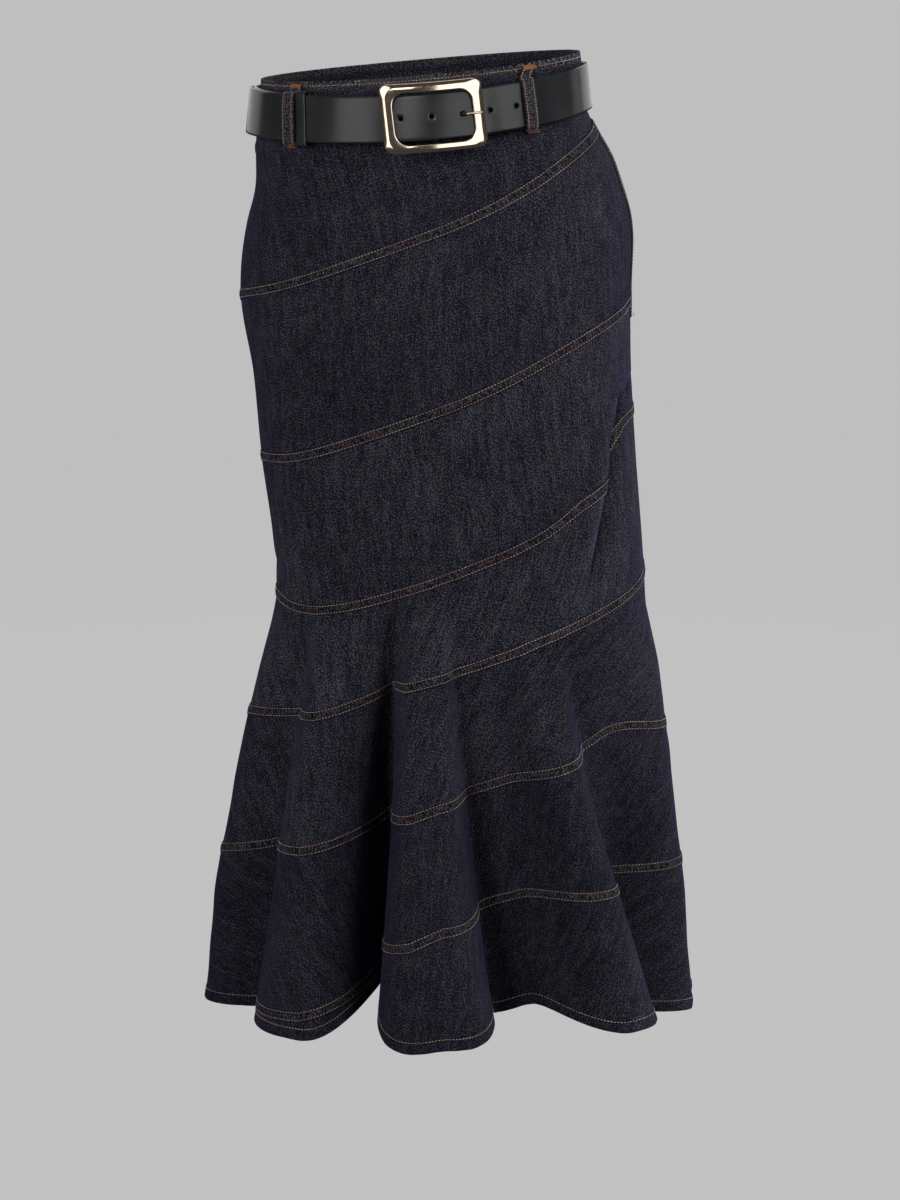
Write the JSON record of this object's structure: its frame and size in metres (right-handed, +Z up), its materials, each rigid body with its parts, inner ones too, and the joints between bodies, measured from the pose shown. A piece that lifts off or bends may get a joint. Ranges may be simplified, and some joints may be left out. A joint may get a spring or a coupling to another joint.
{
  "type": "denim skirt with its belt",
  "caption": "Fitted denim skirt cut in spiral strips that flare at the hem, worn form, with a leather belt and rectangular buckle.",
  "frame": {"origin": "centre of the waist opening, at the middle height of the waistband's top edge, where the wearer's waist holds the skirt", "axes": "+Z up, out of the waist; -Y the skirt's front; +X the wearer's left"},
  "size_m": [0.4577, 0.3587, 0.8863],
  "materials": {
    "denim": "very dark indigo twill with tan topstitching, matt with a faint sheen",
    "leather": "black smooth leather, semi-gloss",
    "gold": "pale gold, polished",
    "zip_tape": "dark navy woven tape",
    "zip_metal": "satin brass"
  },
  "bodies": {
    "root": {"front_panel_1": "denim", "front_panel_2": "denim", "front_panel_3": "denim", "front_panel_4": "denim", "front_panel_5": "denim", "front_panel_6": "denim", "front_panel_7": "denim", "back_panel_1": "denim", "back_panel_2": "denim", "back_panel_3": "denim", "back_panel_4": "denim", "back_panel_5": "denim", "back_panel_6": "denim", "back_panel_7": "denim", "waistband_front": "denim", "waistband_back": "denim", "belt_loop_front_right": "denim", "belt_loop_front_left": "denim", "belt_loop_back_left": "denim", "belt_loop_back_centre": "denim", "belt_loop_back_right": "denim", "zip_placket": "denim", "belt_strap": "leather", "belt_keeper": "leather", "buckle_frame": "gold", "buckle_bar": "gold", "buckle_prong": "gold", "zip_tape": "zip_tape", "zip_slider": "zip_metal"}
  },
  "joints": []
}
